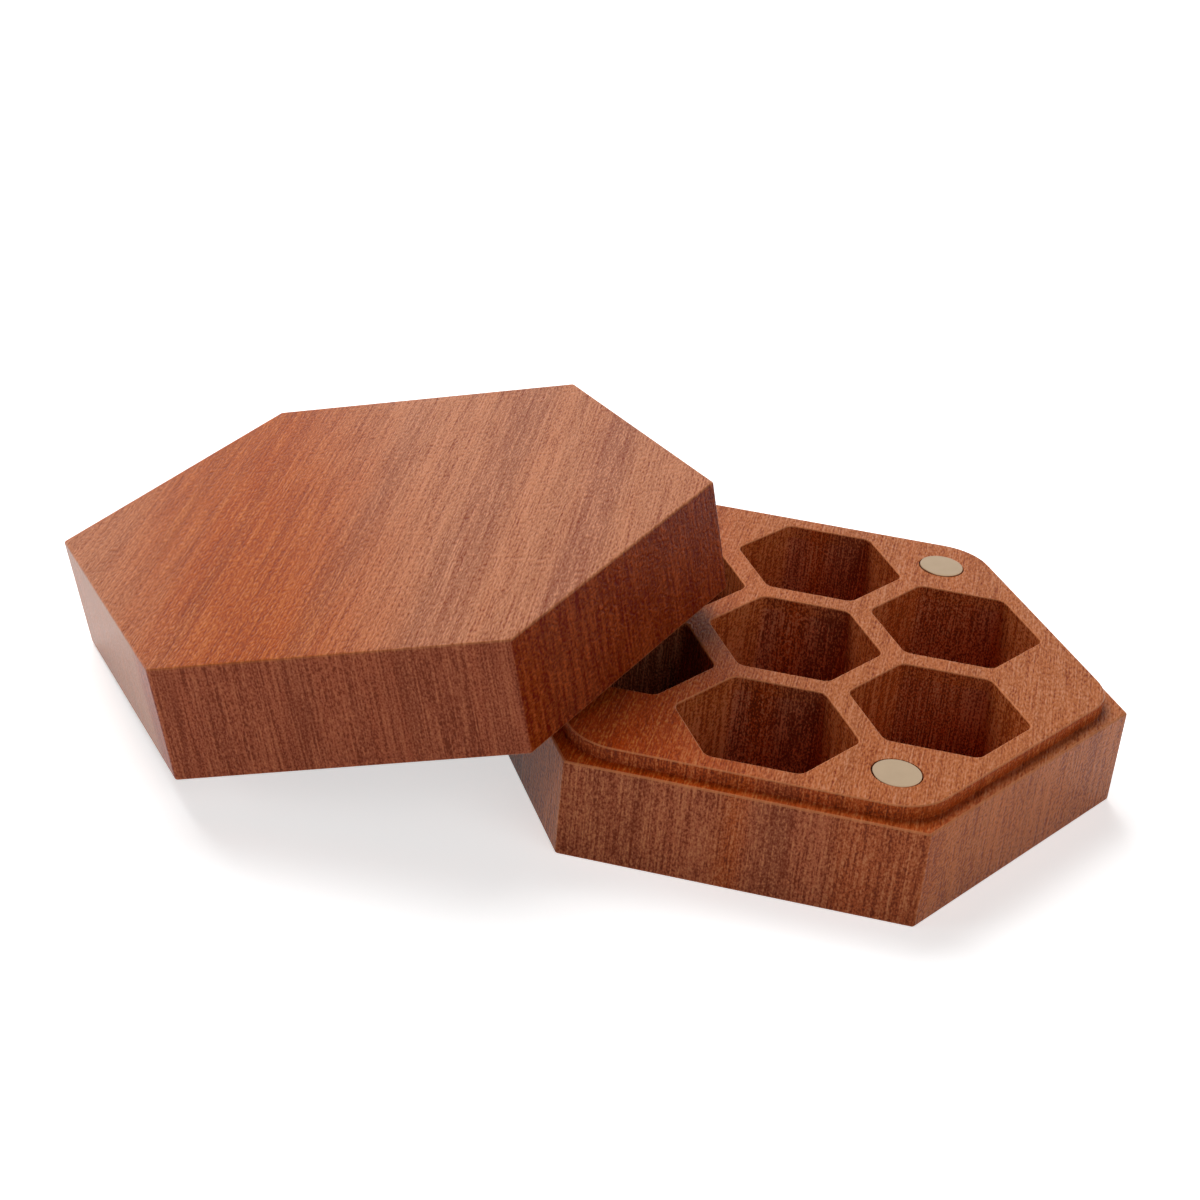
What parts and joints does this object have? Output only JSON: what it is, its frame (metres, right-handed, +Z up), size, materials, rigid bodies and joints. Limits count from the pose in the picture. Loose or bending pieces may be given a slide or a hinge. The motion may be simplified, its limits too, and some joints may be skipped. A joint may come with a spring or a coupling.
{
  "type": "dice storage box",
  "caption": "Hexagonal hardwood dice box with its lid off and leaning on the base: hexagonal pockets for dice, a stepped lip and disc magnets that hold it shut.",
  "frame": {"origin": "centre of the base's underside, on the surface that the box stands on", "axes": "+Z up, square to the base's underside; +X through one corner of the base, to the picture's right, so -Y looks out of the base's front face; the lid lies towards -X"},
  "size_m": [0.1863, 0.111, 0.0463],
  "materials": {
    "wood": "oiled, satin, open pored",
    "magnet": "nickel plated, satin"
  },
  "bodies": {
    "base": {"base_block": "wood", "base_magnet_front": "magnet", "base_magnet_back": "magnet", "base_magnet_left": "magnet"},
    "lid": {"lid_block": "wood", "lid_magnet_front": "magnet", "lid_magnet_back": "magnet", "lid_magnet_left": "magnet"}
  },
  "joints": [
    {"name": "lid_lift", "type": "slide", "parent": "base", "child": "lid", "axis": [0, 0, 1], "range_m": [0, 0.06]}
  ]
}
